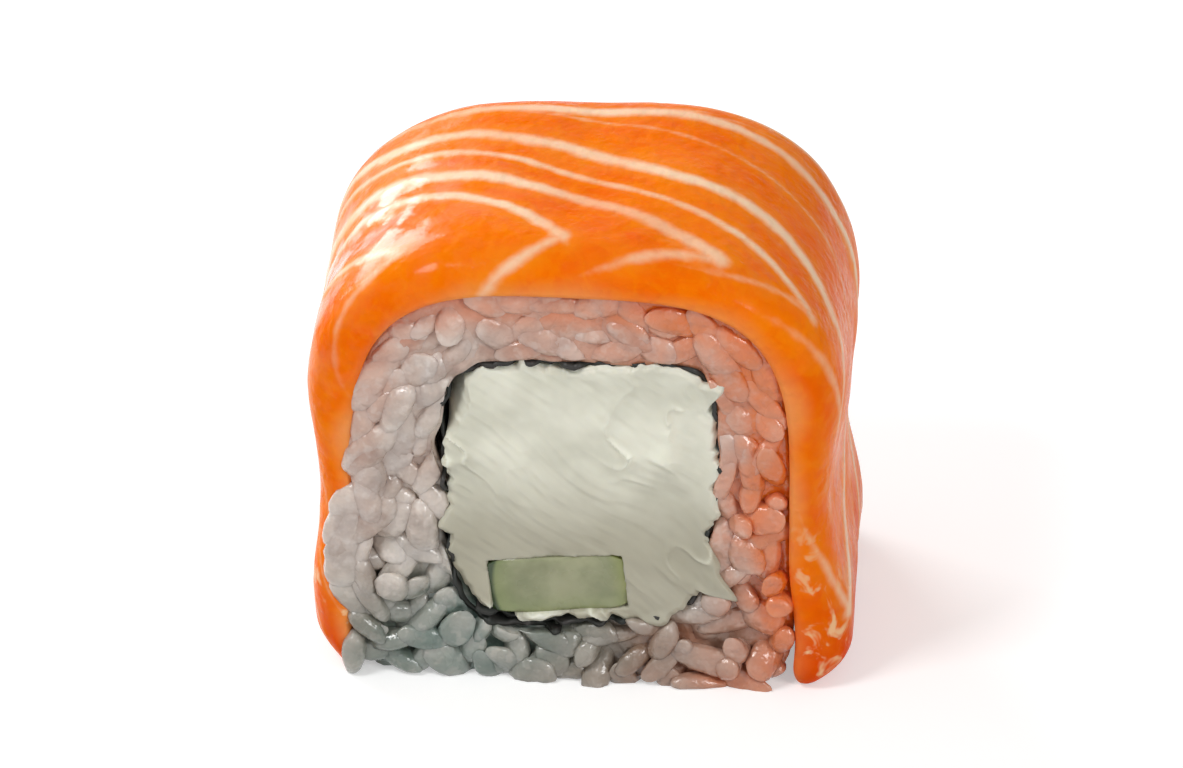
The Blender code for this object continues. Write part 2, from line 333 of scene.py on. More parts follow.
def hole_radius(angle, along):
    """The edge of the rice's hole: outside the nori and its lap, gaping and closing unevenly."""
    uneven = HOLE_RAGGEDNESS * noise(space(np.cos(angle) * 5, np.sin(angle) * 5, along), 1.0, 8)
    for direction, half_width, gap in HOLE_GAPS:
        off = turn_between(angle, math.radians(direction))
        uneven = uneven + gap * MM * hump(off, 0, math.radians(half_width))
    turned = (angle - NORI_START) % FULL_TURN
    over_start = NORI_LAP_LIFT * (1 - smooth_step((turned - NORI_LAP) / math.radians(10)))
    return core_radius(angle, along) + HOLE_OUT + np.maximum(lap_lift(turned), over_start) + uneven


# ------------------------------------------------ meshes from grids of points
def grid_faces(rows, columns, closed_rows=False, closed_columns=False):
    """Four-cornered faces between neighbours of a grid; a closed way joins back to its start."""
    i, j = np.meshgrid(
        np.arange(rows if closed_rows else rows - 1),
        np.arange(columns if closed_columns else columns - 1),
        indexing="ij",
    )
    next_i, next_j = (i + 1) % rows, (j + 1) % columns
    corners = [i * columns + j, next_i * columns + j, next_i * columns + next_j, i * columns + next_j]
    return np.stack(corners, -1).reshape(-1, 4)


def fan_faces(ring, tip):
    """Triangles from each pair of neighbours on a closed ring of points to one tip."""
    return np.stack([ring, np.roll(ring, -1), np.full(len(ring), tip)], -1)


def make_piece(name, points, face_sets, material, replaced, attributes=None):
    """A smooth-shaded mesh piece that rides on the root and stands for its CAD node.

    face_sets are arrays of faces, each with its own number of corners. attributes are values per point.
    """
    mesh = bpy.data.meshes.new(name)
    points = np.asarray(points, dtype=np.float32).reshape(-1, 3)
    corners = np.concatenate([faces.ravel() for faces in face_sets]).astype(np.int32)
    sizes = np.concatenate([np.full(len(faces), faces.shape[1]) for faces in face_sets])
    starts = np.concatenate([[0], np.cumsum(sizes)[:-1]]).astype(np.int32)
    mesh.vertices.add(len(points))
    mesh.vertices.foreach_set("co", points.ravel())
    mesh.loops.add(len(corners))
    mesh.loops.foreach_set("vertex_index", corners)
    mesh.polygons.add(len(sizes))
    mesh.polygons.foreach_set("loop_start", starts)
    mesh.polygons.foreach_set("use_smooth", np.ones(len(sizes), dtype=bool))
    for attribute, values in (attributes or {}).items():
        layer = mesh.attributes.new(attribute, "FLOAT", "POINT")
        layer.data.foreach_set("value", np.asarray(values, dtype=np.float32).ravel())
    mesh.update(calc_edges=True)
    mesh.validate()
    mesh.materials.append(material)
    piece = bpy.data.objects.new(name, mesh)
    bpy.context.scene.collection.objects.link(piece)
    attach(piece, "root")
    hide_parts(replaced)
    return piece


def border_loop(rows, columns):
    """Indices round a grid's border, from its first corner along the first row and once round."""
    index = np.arange(rows * columns).reshape(rows, columns)
    return np.concatenate([index[0, :-1], index[:-1, -1], index[-1, :0:-1], index[:0:-1, 0]])


def block_faces(rows, columns, rings):
    """Faces of a closed block: a front grid, a back grid, and rings of points on the side between them.

    Points are numbered front grid first, then back grid, then ring after ring from front to back.
    """
    one_face = rows * columns
    front = grid_faces(rows, columns)[:, ::-1]
    back = grid_faces(rows, columns) + one_face
    border = border_loop(rows, columns)
    loops = [border]
    loops += [2 * one_face + k * len(border) + np.arange(len(border)) for k in range(rings)]
    loops += [border + one_face]
    pairs = zip(loops, loops[1:])
    sides = [np.stack([near, far, np.roll(far, -1), np.roll(near, -1)], -1) for near, far in pairs]
    return [front, back, *sides]


def ring_places(rings):
    """Even steps between -1 and 1, without the ends: where the rings of a block's side lie."""
    return np.linspace(-1, 1, rings + 2)[1:-1][:, None]


# ------------------------------------------------ shader nodes
def feed(tree, node, values):
    """Each socket, by name or number, set to its value, or linked where that value is a socket."""
    for key, value in values.items():
        if isinstance(value, bpy.types.NodeSocket):
            tree.links.new(value, node.inputs[key])
        else:
            node.inputs[key].default_value = value


def add_node(tree, kind, values, **settings):
    """A node with its settings and with its sockets fed."""
    node = tree.nodes.new(kind)
    for name, setting in settings.items():
        setattr(node, name, setting)
    feed(tree, node, values)
    return node


def math_node(tree, operation, first, second, third=0.0):
    """The result of one operation on numbers or sockets."""
    node = add_node(tree, "ShaderNodeMath", {0: first, 1: second, 2: third}, operation=operation)
    return node.outputs[0]


def times(tree, first, second):
    """The product of two numbers or sockets."""
    return math_node(tree, "MULTIPLY", first, second)


def rest_of(tree, share):
    """1 less the share."""
    return math_node(tree, "SUBTRACT", 1.0, share)


def ramp(tree, value, low, high):
    """value carried to 0 at low and 1 at high, with an S-curve between."""
    values = {"Value": value, "From Min": low, "From Max": high, "To Min": 0.0, "To Max": 1.0}
    node = add_node(tree, "ShaderNodeMapRange", values, interpolation_type="SMOOTHSTEP")
    return node.outputs["Result"]


def mix_colour(tree, share, first, second):
    """The first colour turning into the second as share goes from 0 to 1."""
    values = {0: share, 6: first, 7: second}
    settings = {"data_type": "RGBA", "blend_type": "MIX", "clamp_factor": True}
    return add_node(tree, "ShaderNodeMix", values, **settings).outputs[2]


def tint(tree, colour, share, most, towards):
    """The colour moved towards another one, as far as most where the share is 1."""
    return mix_colour(tree, times(tree, share, most), colour, towards)


def noise_value(tree, place, per_metre, detail=2.0, roughness=0.5, distortion=0.0):
    """Noise from 0 to 1 at the place, with per_metre of its lumps to the metre."""
    values = {"Vector": place, "Scale": per_metre, "Detail": detail}
    values |= {"Roughness": roughness, "Distortion": distortion}
    return add_node(tree, "ShaderNodeTexNoise", values).outputs["Fac"]


def object_place(tree):
    """The piece's own Object coordinates."""
    return add_node(tree, "ShaderNodeTexCoord", {}).outputs["Object"]


def attribute_value(tree, name):
    """A value that the piece's mesh holds for each point."""
    return add_node(tree, "ShaderNodeAttribute", {}, attribute_name=name).outputs["Fac"]


def new_group(name, inputs, outputs):
    """An empty shader node group: inputs are (name, kind, default), outputs are (name, kind)."""
    tree = bpy.data.node_groups.new(name, "ShaderNodeTree")
    for title, kind, default in inputs:
        socket = tree.interface.new_socket(title, in_out="INPUT", socket_type=kind)
        socket.default_value = default
    for title, kind in outputs:
        tree.interface.new_socket(title, in_out="OUTPUT", socket_type=kind)
    given = tree.nodes.new("NodeGroupInput").outputs
    result = tree.nodes.new("NodeGroupOutput").inputs
    return tree, given, result


def make_wet_group():
    """Wet gloss: roughness that changes in soft patches, and a faint rounded bump."""
    number = "NodeSocketFloat"
    tree, given, result = new_group(
        "wet_gloss",
        [
            ("Smoothest", number, 0.2),
            ("Roughest", number, 0.4),
            ("Patches per metre", number, 150.0),
            ("Bumps per metre", number, 500.0),
            ("Bump depth", number, 0.0001),
        ],
        [("Roughness", number), ("Normal", "NodeSocketVector")],
    )
    place = object_place(tree)
    patches = ramp(tree, noise_value(tree, place, given["Patches per metre"], detail=3.0), 0.3, 0.7)
    low = times(tree, given["Smoothest"], rest_of(tree, patches))
    high = times(tree, given["Roughest"], patches)
    tree.links.new(math_node(tree, "ADD", low, high), result["Roughness"])
    bumps = noise_value(tree, place, given["Bumps per metre"], detail=2.0, roughness=0.4)
    height = times(tree, bumps, given["Bump depth"])
    bump = add_node(tree, "ShaderNodeBump", {"Strength": 1.0, "Distance": 1.0, "Height": height})
    tree.links.new(bump.outputs["Normal"], result["Normal"])
    return tree


def make_mottle_group():
    """Mottling: a colour that drifts towards a second one in soft patches."""
    colour, number = "NodeSocketColor", "NodeSocketFloat"
    tree, given, result = new_group(
        "mottle",
        [
            ("Colour", colour, (0.8, 0.8, 0.8, 1)),
            ("Patch colour", colour, (0.5, 0.5, 0.5, 1)),
            ("Patches per metre", number, 200.0),
            ("Amount", number, 0.5),
        ],
        [("Colour", colour)],
    )
    place, per_metre = object_place(tree), given["Patches per metre"]
    patches = ramp(tree, noise_value(tree, place, per_metre, detail=3.0, roughness=0.55), 0.35, 0.7)
    mixed = tint(tree, given["Colour"], patches, given["Amount"], given["Patch colour"])
    tree.links.new(mixed, result["Colour"])
    return tree


def use_mottle(tree, mottle, colour, patch_colour, per_metre, amount):
    """The mottling placed in a material with its own values: its colour."""
    values = {"Colour": colour, "Patch colour": patch_colour}
    values |= {"Patches per metre": per_metre, "Amount": amount}
    return add_node(tree, "ShaderNodeGroup", values, node_tree=mottle).outputs["Colour"]


def use_wet(tree, wet, surface, roughness, per_metre, bumps_per_metre, bump_depth):
    """The wet gloss placed in a material with its own values, and linked to its surface.

    roughness is the smoothest and the roughest.
    """
    values = {"Smoothest": roughness[0], "Roughest": roughness[1], "Patches per metre": per_metre}
    values |= {"Bumps per metre": bumps_per_metre, "Bump depth": bump_depth}
    gloss = add_node(tree, "ShaderNodeGroup", values, node_tree=wet).outputs
    feed(tree, surface, {"Roughness": gloss["Roughness"], "Normal": gloss["Normal"]})


def food_material(name, subsurface, radius, scale, specular, coat, coat_roughness):
    """A moist material: its Principled shader with the values that are the same all over."""
    made = bpy.data.materials.new(name)
    made.use_nodes = True
    surface = made.node_tree.nodes["Principled BSDF"]
    surface.subsurface_method = "RANDOM_WALK"
    under = {"Subsurface Weight": subsurface, "Subsurface Radius": radius, "Subsurface Scale": scale}
    over = {"Specular IOR Level": specular, "Coat Weight": coat, "Coat Roughness": coat_roughness}
    feed(made.node_tree, surface, under | over)
    return made, made.node_tree, surface


def rgb(red, green, blue):
    """An opaque colour from sRGB values of 0 to 255, turned linear and rounded."""
    srgb = np.array([red, green, blue]) / 255
    linear = np.where(srgb <= 0.04045, srgb / 12.92, ((srgb + 0.055) / 1.055) ** 2.4)
    return (*(float(value) for value in np.round(linear, 3)), 1.0)


# ------------------------------------------------ salmon
def salmon_path():
    """The slice's inner line (x, z): up the left leg, over the rice's outline and down the right leg.

    Both legs swing outwards a little near the base.
    """
    angle = np.radians(180 - np.arange(0, 180.5, 0.5))
    over = np.stack(rice_outline(angle, SALMON_GAP), -1)
    height = np.linspace(SALMON_FOOT, over[0, 1], 60)[:-1]
    swing = hump(height, SWING_HEIGHT, SWING_REACH)
    edge = RICE_HALF_WIDTH + SALMON_GAP
    left = np.stack([RICE_CENTRE - edge - LEFT_SWING * swing, height], -1)
    right = np.stack([RICE_CENTRE + edge + RIGHT_SWING * swing, height], -1)
    return np.concatenate([left, over, right[::-1]])


def even_steps(path, steps):
    """The path walked in even steps: points, unit normals to its left and the distance walked."""
    walked = np.concatenate([[0], np.cumsum(np.linalg.norm(np.diff(path, axis=0), axis=1))])
    distance = np.linspace(0, walked[-1], steps)
    points = np.stack([np.interp(distance, walked, path[:, k]) for k in range(2)], -1)
    direction = np.gradient(points, axis=0)
    for _ in range(4):
        direction[1:-1] = (direction[:-2] + 2 * direction[1:-1] + direction[2:]) / 4
    direction /= np.linalg.norm(direction, axis=1, keepdims=True)
    normals = np.stack([-direction[:, 1], direction[:, 0]], -1)
    return points, normals, distance


def salmon_profile():
    """The slice's cross-section, once round: its place along Y and its share of the thickness.

    The outer side runs from front to back, a rim rolls over, the inner side runs back to the front and
    the other rim closes it. Each rim is two quarter ellipses, a wide outer and a tight inner one.
    """
    outer_flat = np.linspace(-HALF_LENGTH + OUTER_RIM_WIDTH, HALF_LENGTH - OUTER_RIM_WIDTH, 70)
    inner_flat = np.linspace(HALF_LENGTH - INNER_RIM, -HALF_LENGTH + INNER_RIM, 24)
    wide, tight = OUTER_RIM_SHARE, INNER_RIM / SALMON_THICKNESS
    quarter = np.linspace(0, math.pi / 2, 18)[1:-1]
    roll_place = HALF_LENGTH - OUTER_RIM_WIDTH * (1 - np.sin(quarter))
    roll = np.stack([roll_place, 1 - wide * (1 - np.cos(quarter))], -1)
    quarter = quarter[::2]
    curl_place = HALF_LENGTH - INNER_RIM * (1 - np.cos(quarter))
    curl = np.stack([curl_place, tight * (1 - np.sin(quarter))], -1)
    wall = np.stack([np.full(4, HALF_LENGTH), np.linspace(1 - wide, tight, 4)], -1)
    back = np.concatenate([roll, wall, curl])
    front = back[::-1] * (-1, 1)
    outer = np.stack([outer_flat, np.ones(len(outer_flat))], -1)
    inner = np.stack([inner_flat, np.zeros(len(inner_flat))], -1)
    return np.concatenate([outer, back, inner, front])


def unrolled(profile):
    """Each profile point's distance along the outer side from its middle, below 0 towards the front."""
    flat = profile * (1, SALMON_THICKNESS)
    edge = np.abs(flat[:, 0]) - (HALF_LENGTH - OUTER_RIM_WIDTH)
    drop = SALMON_THICKNESS - flat[:, 1]
    rolled = HALF_LENGTH - OUTER_RIM_WIDTH + np.hypot(np.maximum(edge, 0), drop)
    return np.where(edge > 0, np.sign(flat[:, 0]) * rolled, flat[:, 0])


def salmon_thickness(share, place):
    """The slice's thickness: fuller on the right and at the shoulders, less at the waists and the ends.

    share runs from 0 to 1 round the slice and place from -1 to 1 along the roll. A sine wave makes it
    uneven.
    """
    from_middle = np.abs(share - 0.5) * 2
    shoulder = 0.10 * hump(from_middle, 0.40, 0.2)
    waist = 0.16 * hump(from_middle, 0.68, 0.22)
    end = 0.30 * smooth_step((from_middle - 0.93) / 0.07)
    wave = 0.04 * np.sin(9 * share + 1.5 * place)
    return SALMON_THICKNESS * (0.83 + SALMON_LEAN * (share - 0.5) + shoulder - waist - end + wave)


# The fat lines are arrowheads that point round the slice towards +X. Each row is one of them: its tip's
# distance round the slice from the middle, how far its back arm climbs and over what distance, the
# slope of its front arm, half its width (lengths in mm) and its strength.
FAT_LINES = (
    (-56, 14, 20, 0.50, 0.40, 0.7),
    (-49, 15, 22, 0.45, 0.40, 0.7),
    (-42, 15, 22, 0.50, 0.45, 0.8),
    (-35, 16, 24, 0.50, 0.45, 0.8),
    (-28, 15, 22, 0.42, 0.45, 0.8),
    (-21, 14, 20, 0.42, 0.40, 0.6),
    (-13, 12, 16, 0.50, 0.50, 0.9),
    (-1, 15, 17, 0.62, 0.60, 1.0),
    (10.8, 22, 35, 0.30, 0.75, 1.0),
    (17.5, 24, 34, 0.20, 0.50, 0.9),
    (25, 25, 34, 0.30, 0.62, 1.0),
    (34, 24, 26, 0.35, 0.45, 0.7),
    (43, 20, 14, 0.40, 0.60, 1.0),
    (52, 20, 13, 0.40, 0.45, 0.6),
    (60, 21.5, 13, 0.40, 0.60, 0.9),
    (70, 24, 16, 0.40, 0.50, 0.8),
    (78, 27, 19, 0.40, 0.55, 0.8),
)
TIP_LINE = -9.8 * MM
FRONT_ARM_LENGTH = 14 * MM
BACK_ARM_LENGTH = 48 * MM
BACK_ARM_FADE = 25 * MM
FAR_FROM_FAT = 9.0  # half-widths from a line where there is none


def fat_lines(round_slice, place, points):
    """How near each point lies to a fat line, in half-widths, and how strong that line is.

    A line's back arm climbs from the tip line as climb * (1 - exp(-d / run)), d behind its tip, and its
    front arm falls as slope * d. Noise bends the lines and thins them in places, and a faint stretch
    counts as further away.
    """
    round_slice = round_slice + 0.9 * MM * noise(points, 8 * MM, 6)
    place = place + 0.6 * MM * noise(points, 6 * MM, 5)
    wear = 0.85 + 0.45 * noise(points, 6.5 * MM, 7)
    nearest, strongest = np.full(place.shape, FAR_FROM_FAT), np.zeros(place.shape)
    for tip, climb, run, slope, half_width, strength in FAT_LINES:
        behind = tip * MM - round_slice
        reach = np.maximum(behind, 0)
        back_arm = climb * MM * (1 - np.exp(-reach / (run * MM)))
        back_slope = climb / run * np.exp(-reach / (run * MM))
        off_back = np.abs(place - TIP_LINE - back_arm) / np.sqrt(1 + back_slope**2)
        off_front = np.abs(place - TIP_LINE + slope * reach) / math.sqrt(1 + slope**2)
        past_tip = np.maximum(-behind, 0)
        off_back, off_front = np.hypot(off_back, past_tip), np.hypot(off_front, past_tip)
        front_share = 0.85 * (1 - smooth_step(reach / FRONT_ARM_LENGTH - 0.3))
        back_share = 1 - smooth_step((reach - BACK_ARM_LENGTH) / BACK_ARM_FADE)
        for off, share in ((off_back, back_share), (off_front, front_share)):
            away = off / (half_width * MM) + 2.5 * (1 - share * strength)
            closer = away < nearest
            nearest = np.where(closer, away, nearest)
            strongest = np.where(closer, strength * share * wear, strongest)
    return nearest, np.clip(strongest, 0, 1)


def salmon_relief(points, outward_share, rounded, to_line, strength, glaze):
    """How far the outer side is raised: soft lumps, the fat lines, and ripples, most where it is glazed.

    outward_share is 0 on the inner side and 1 on the outer one, and rounded fades the lumps at the feet.
    """
    relief = lumps(points, SALMON_LUMPS)
    relief *= smooth_step(outward_share * 1.5)[None, :] * rounded
    relief += FAT_HEIGHT * strength * smooth_step(1 - to_line / 1.6)
    ripples = RIPPLE_HEIGHT * (0.25 + 0.75 * glaze) * noise(points, 1.1 * MM, 14)
    return relief + ripples * smooth_step(outward_share * 2)


def salmon_marks(points, off_middle):
    """Masks of the painted shade at the feet, the starch from the rice near the cuts and the painted
    light at the thin rolled-over edges.

    off_middle is the distance along the outer side from its middle.
    """
    at_cut = smooth_step((np.abs(points[..., 1]) - HALF_LENGTH + 5 * MM) / CUT_BAND)
    starch = smooth_step(1.15 - points[..., 2] / STARCH_HEIGHT) * (0.15 + 0.85 * at_cut)
    # painted light: paler where light shows through the thin rolled-over edges
    rolled_over = (np.abs(off_middle) - HALF_LENGTH - 0.6 * MM) / THIN_EDGE_GLOW_WIDTH
    thin_edge_glow = smooth_step(rolled_over + 0.5 * noise(points, 4 * MM, 4))
    # painted shade: darker and redder towards the base of each leg
    foot = smooth_step(1 - points[..., 2] / FOOT_SHADE_HEIGHT)
    return foot, starch, thin_edge_glow


def make_salmon(material):
    """The salmon slice: its cross-section carried along its path, both feet rounded and closed.

    A point stands out from the path by its share of the thickness. Towards a foot's tip it closes in on
    the middle of the thickness along a quarter circle.
    """
    steps = 340
    line, normals, distance = even_steps(salmon_path(), steps)
    profile = salmon_profile()
    columns = len(profile)
    outward_share, off_middle = profile[:, 1], unrolled(profile)
    share = (distance / distance[-1])[:, None]
    place = profile[:, 0][None, :]
    thickness = salmon_thickness(share, place / HALF_LENGTH)
    to_end = np.minimum(distance, distance[-1] - distance)[:, None]
    rounded = np.sqrt(np.clip(1 - (1 - np.minimum(to_end / FOOT_ROUNDING, 1)) ** 2, 0, 1))
    rounded = FOOT_TIP + (1 - FOOT_TIP) * rounded
    out = thickness * (FOOT_MIDDLE + (outward_share[None, :] - FOOT_MIDDLE) * rounded)
    along = place * (1 - (1 - rounded) * FOOT_NARROWING)
    edge_wave = EDGE_SWAY * np.sin(7 * share + 1) + EDGE_WANDER * noise(space(share * 9, 0, 0), 1.0, 3)
    along = along + edge_wave * (place / HALF_LENGTH) ** 2 * np.sign(-place) * 0.6
    points = space(line[:, :1] + normals[:, :1] * out, along, line[:, 1:] + normals[:, 1:] * out)
    outward = space(normals[:, :1], np.zeros_like(along), normals[:, 1:])
    round_slice = (distance - distance[-1] / 2)[:, None] * OUTER_STRETCH + 0 * along
    to_line, strength = fat_lines(round_slice, off_middle[None, :] + 0 * along, points)
    glaze = hump(round_slice, *GLAZE_ROUND_SLICE) * hump(along, *GLAZE_ALONG)
    relief = salmon_relief(points, outward_share, rounded, to_line, strength, glaze)
    points = points + outward * relief[..., None]
    points[..., 2] = soft_max(points[..., 2], SALMON_LOWEST, 0.3 * MM)
    foot, starch, thin_edge_glow = salmon_marks(points, off_middle)
    tips = points[[0, -1]].mean(axis=1)
    first, last = np.arange(columns), (steps - 1) * columns + np.arange(columns)
    first_tip = steps * columns
    ends = np.concatenate([fan_faces(first, first_tip), fan_faces(last[::-1], first_tip + 1)])
    return make_piece(
        "salmon_slice",
        np.concatenate([points.reshape(-1, 3), tips]),
        [grid_faces(steps, columns, closed_columns=True), ends],
        material,
        "salmon",
        {
            "to_fat_line": np.append(to_line.ravel(), [FAR_FROM_FAT, FAR_FROM_FAT]),
            "fat_strength": np.append(strength.ravel(), [0, 0]),
            # the painted shade at the feet
            "foot": np.append(foot.ravel(), [1, 1]),
            "starch": np.append(starch.ravel(), [0, 0]),
            "glaze": np.append(glaze.ravel(), [0, 0]),
            "thin_edge_glow": np.append(thin_edge_glow.ravel(), [0, 0]),
        },
    )


def salmon_material(wet, mottle):
    """Bright orange flesh with pale fat lines, darker and redder at its feet by painted shade, paler at
    its thin edges by painted light, under a wet uneven gloss.

    A wide faint halo and a narrow pale core follow the distance to a fat line, which noise makes ragged.
    """
    made, tree, surface = food_material("salmon_flesh", 0.1, (1.0, 0.25, 0.06), 1.3 * MM, 0.02, 0.0, 0.12)
    place = object_place(tree)
    flesh = use_mottle(tree, mottle, rgb(251, 118, 0), rgb(243, 90, 0), 130.0, 0.8)
    fibre = ramp(tree, noise_value(tree, place, 650.0, detail=3.0, distortion=0.8), 0.42, 0.66)
    flesh = tint(tree, flesh, fibre, 0.3, rgb(255, 142, 8))
    # painted shade: the flesh darker and redder towards the base of the legs
    flesh = tint(tree, flesh, attribute_value(tree, "foot"), 0.7, rgb(222, 58, 2))
    # painted light: pale peach where light shows through the thin edges
    flesh = tint(tree, flesh, attribute_value(tree, "thin_edge_glow"), 0.75, rgb(246, 164, 96))
    wobble = math_node(tree, "MULTIPLY_ADD", noise_value(tree, place, 700.0, detail=3.0), 1.1, -0.55)
    away = math_node(tree, "ADD", attribute_value(tree, "to_fat_line"), wobble)
    strength = attribute_value(tree, "fat_strength")
    halo = times(tree, rest_of(tree, ramp(tree, away, 0.4, 3.6)), strength)
    flesh = tint(tree, flesh, halo, 0.55, rgb(251, 148, 26))
    core = rest_of(tree, ramp(tree, away, 0.2, 1.5))
    flesh = tint(tree, flesh, core, strength, rgb(254, 214, 178))
    smears = noise_value(tree, place, 420.0, detail=3.0, roughness=0.6, distortion=0.6)
    starch = ramp(tree, smears, 0.56, 0.68)
    flesh = tint(tree, flesh, starch, attribute_value(tree, "starch"), rgb(250, 200, 150))
    wet_patches = ramp(tree, noise_value(tree, place, 380.0, detail=3.0, roughness=0.55), 0.4, 0.56)
    glazed = math_node(tree, "MULTIPLY_ADD", attribute_value(tree, "glaze"), 0.85, 0.1)
    use_wet(tree, wet, surface, (0.16, 0.42), 170.0, 1200.0, 0.00018)
    feed(tree, surface, {"Base Color": flesh, "Coat Weight": times(tree, glazed, wet_patches)})
    return made


# ------------------------------------------------ rice
def grain_form(around, rings):
    """One grain from -1 to 1 along X: rounded ends and a slight bow. Its points, quads and end caps.

    Its points are one pole, ring after ring, and the other pole.
    """
    along = np.sin(np.linspace(-math.pi / 2, math.pi / 2, rings + 2))[1:-1]
    girth = (1 - np.abs(along) ** 2.6) ** 0.5
    turn = np.linspace(0, FULL_TURN, around, endpoint=False)
    x = np.repeat(along[:, None], around, 1)
    y = girth[:, None] * np.cos(turn)
    z = girth[:, None] * np.sin(turn) + 0.16 * (1 - along[:, None] ** 2)
    body = space(x, y, z).reshape(-1, 3)
    points = np.concatenate([[[-1, 0, 0]], body, [[1, 0, 0]]])
    rows = grid_faces(rings, around, closed_columns=True)[:, ::-1] + 1
    first = fan_faces(1 + np.arange(around), 0)
    last = fan_faces(1 + (rings - 1) * around + np.arange(around)[::-1], 1 + rings * around)
    return points, rows, np.concatenate([first, last])[:, ::-1]


def stand_apart(candidates, spacing, most):
    """The first of the candidates that lie at least the spacing from every one kept before them."""
    kept = candidates[:1]
    for candidate in candidates[1:]:
        if len(kept) >= most:
            break
        if np.min(np.linalg.norm(kept - candidate, axis=1)) >= spacing:
            kept = np.concatenate([kept, candidate[None]])
    return kept


def lay_axes(forward, up):
    """Rotation matrices whose columns are the forward direction, the side and the outward direction."""
    forward = forward / np.linalg.norm(forward, axis=1, keepdims=True)
    side = np.cross(up, forward)
    side /= np.linalg.norm(side, axis=1, keepdims=True)
    return np.stack([forward, side, np.cross(forward, side)], -1)


def low_share(angle):
    """0 over the filling and 1 low on the ring, by the direction from its middle."""
    return smooth_step(0.5 - 1.2 * np.sin(angle))


def face_grains(random, end):
    """Grains on one cut face: centres, rotations and how far each may stand past the cut.

    Over the filling they lie along the ring, pressed level; towards the base they lie every way and
    stand out more. end is -1 for the front face and 1 for the back one.
    """
    angle = random.uniform(0, FULL_TURN, 6000)
    share = random.uniform(0, 1, 6000) ** 0.7
    inner = np.stack(core_point(angle, hole_radius(angle, end) + 0.25 * MM), -1)
    outer = np.stack(rice_outline(angle, -0.35 * MM), -1)
    outer[:, 0] += np.sign(outer[:, 0]) * leg_room(outer[:, 0], outer[:, 1])
    flat = inner + (outer - inner) * share[:, None]
    flat = stand_apart(flat, FACE_GRAIN_SPACING, 600)
    angle, _ = from_rice_middle(flat[:, 0], flat[:, 1])
    low = low_share(angle)
    heading = angle + math.pi / 2 + random.normal(0, 1, len(flat)) * (0.4 + 1.3 * low)
    lean = random.normal(0, 1, len(flat)) * (0.3 + 0.4 * low)
    forward = space(np.cos(heading) * np.cos(lean), np.sin(lean), np.sin(heading) * np.cos(lean))
    up = np.tile([0.0, float(end), 0.0], (len(flat), 1)) + random.normal(0, 0.15, (len(flat), 3))
    depth = RICE_CUT - (0.6 - 0.2 * low) * MM - random.uniform(0, 0.7, len(flat)) * (0.6 + low) * MM
    centres = space(flat[:, 0], end * depth, flat[:, 1])
    proud = (random.uniform(0.0, 0.35, len(flat)) + low * random.uniform(-0.3, 0.6, len(flat))) * MM
    return centres, lay_axes(forward, up), proud


def base_grains(random):
    """Grains under the ring, lying every way on the base: centres, rotations and their stand."""
    flat = random.uniform(-1, 1, (4000, 2)) * (RICE_HALF_WIDTH - 1.6 * MM, RICE_CUT - 1.8 * MM)
    flat = stand_apart(flat, BASE_GRAIN_SPACING, 400)
    heading = random.uniform(0, FULL_TURN, len(flat))
    lean = random.normal(0, 0.12, len(flat))
    forward = space(np.cos(heading) * np.cos(lean), np.sin(heading) * np.cos(lean), np.sin(lean))
    up = np.tile([0.0, 0.0, -1.0], (len(flat), 1))
    centres = space(flat[:, 0], flat[:, 1], random.uniform(0.75, 1.5, len(flat)) * MM)
    return centres, lay_axes(forward, up), np.zeros(len(flat))


def stray_grains():
    """Grains pushed out over the slice's left front edge, in slanting rows.

    Each row runs from its first centre to its last, at even steps, and a sine wave moves its grains off
    the line and off its heading.
    """
    centres, headings = [], []
    for start, stop, count, heading, depth in STRAY_ROWS:
        share = np.linspace(0, 1, count)
        wander = 0.45 * np.sin(2.1 * np.arange(count) + 3 * start[1])
        x = (start[0] + (stop[0] - start[0]) * share + wander) * MM
        z = (start[1] + (stop[1] - start[1]) * share) * MM
        centres.append(space(x, -RICE_CUT + depth * MM, z))
        headings.append(heading + 0.55 * np.sin(2.3 * np.arange(count) + start[1]))
    centres, headings = np.concatenate(centres), np.concatenate(headings)
    forward = space(np.cos(headings), 0.12 * np.sin(3 * headings), np.sin(headings))
    up = np.tile([0.0, -1.0, 0.0], (len(centres), 1))
    return centres, lay_axes(forward, up), np.full(len(centres), STRAY_STAND)


def leg_room(x, z):
    """How far the rice follows the slice's legs out where they swing away from it."""
    swing = hump(z, SWING_HEIGHT, SWING_REACH) * np.where(x > 0, RIGHT_SWING, LEFT_SWING)
    return swing * smooth_step((np.abs(x) - 10 * MM) / (4 * MM))


def press_into_ring(points, proud, free):
    """The grains' points pressed into the ring: clear of the nori, under the salmon, level at the cuts.

    They are flat on the base. proud is how far each grain may stand past the cut, and free ones may also
    stand out under the salmon.
    """
    x, y, z = points[..., 0], points[..., 1], points[..., 2]
    along = np.clip(y / HALF_LENGTH, -1, 1)
    angle = np.arctan2(z - CORE_CENTRE[1], x - CORE_CENTRE[0])
    radius = np.hypot(x - CORE_CENTRE[0], z - CORE_CENTRE[1])
    radius = soft_max(radius, hole_radius(angle, along), PRESSED_CORNER)
    x, z = core_point(angle, radius)
    angle, radius = from_rice_middle(x, z)
    limit = rice_radius(angle) + SALMON_GAP + 0.35 * MM + leg_room(x, z)
    limit = limit + np.where(free[:, None], STRAY_ROOM, 0)
    radius = -soft_max(-radius, -limit, PRESSED_CORNER)
    x, z = RICE_CENTRE + radius * np.cos(angle), RICE_MIDDLE + radius * np.sin(angle)
    cut = (RICE_CUT + proud)[:, None] + lumps(points, CUT_LUMPS)
    y = soft_max(-soft_max(-y, -cut, CUT_CORNER), -cut, CUT_CORNER)
    return space(x, y, soft_max(z, 0 * z, 0.3 * MM))


